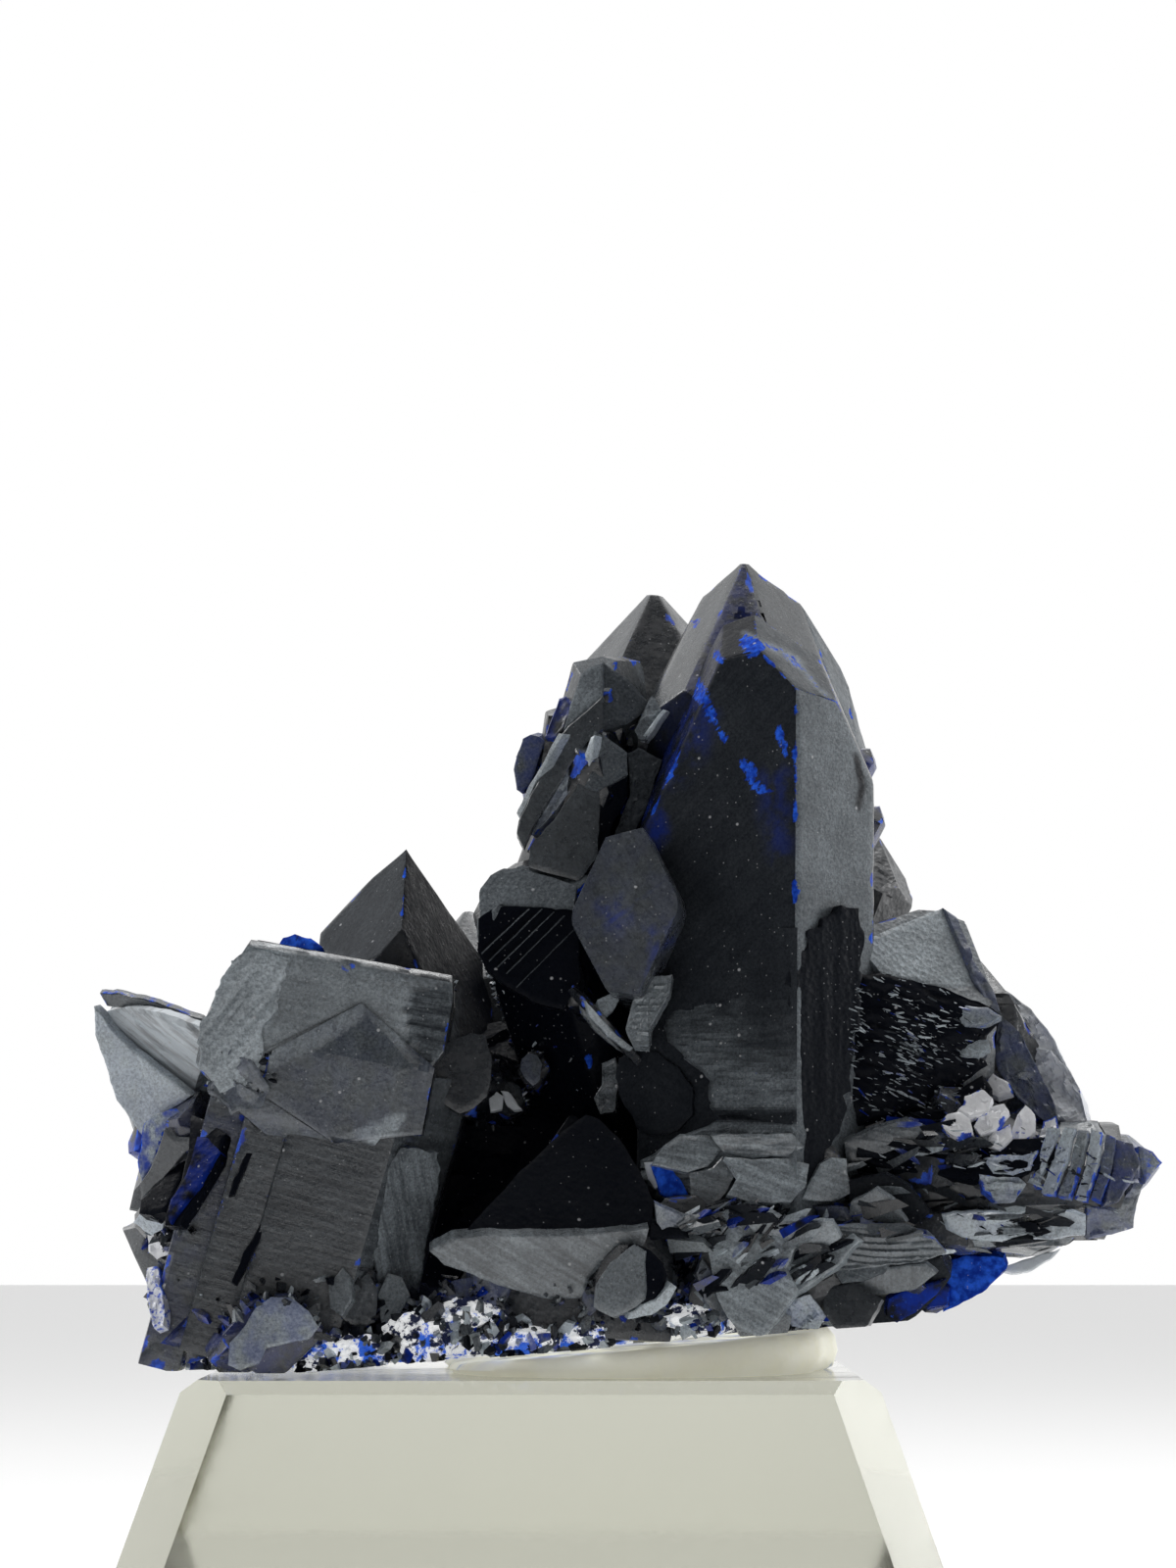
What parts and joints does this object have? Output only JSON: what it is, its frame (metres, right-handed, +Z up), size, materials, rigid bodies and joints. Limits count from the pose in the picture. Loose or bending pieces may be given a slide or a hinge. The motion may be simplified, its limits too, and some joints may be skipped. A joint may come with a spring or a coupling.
{
  "type": "azurite specimen",
  "caption": "Cluster of dark blue azurite crystals on pale matrix, set with putty on a clear bevelled display block.",
  "frame": {"origin": "centre of the display block's square underside, where the specimen stands on a table", "axes": "+Z up out of the block's top; -Y towards the viewer of the specimen's front; +X to that viewer's right"},
  "size_m": [0.0478, 0.038, 0.0494],
  "materials": {
    "azurite_crystals": "near-black blue crystal faces, vitreous, with saturated blue in thin edges and fine dust",
    "matrix": "pale grey-cream granular crust",
    "mounting_putty": "pale yellow-cream putty, matt",
    "display_block": "clear acrylic, polished, faint grey-olive tint"
  },
  "bodies": {
    "root": {"azurite_crystals": "azurite_crystals", "matrix": "matrix", "mounting_putty": "mounting_putty", "display_block": "display_block"}
  },
  "joints": []
}
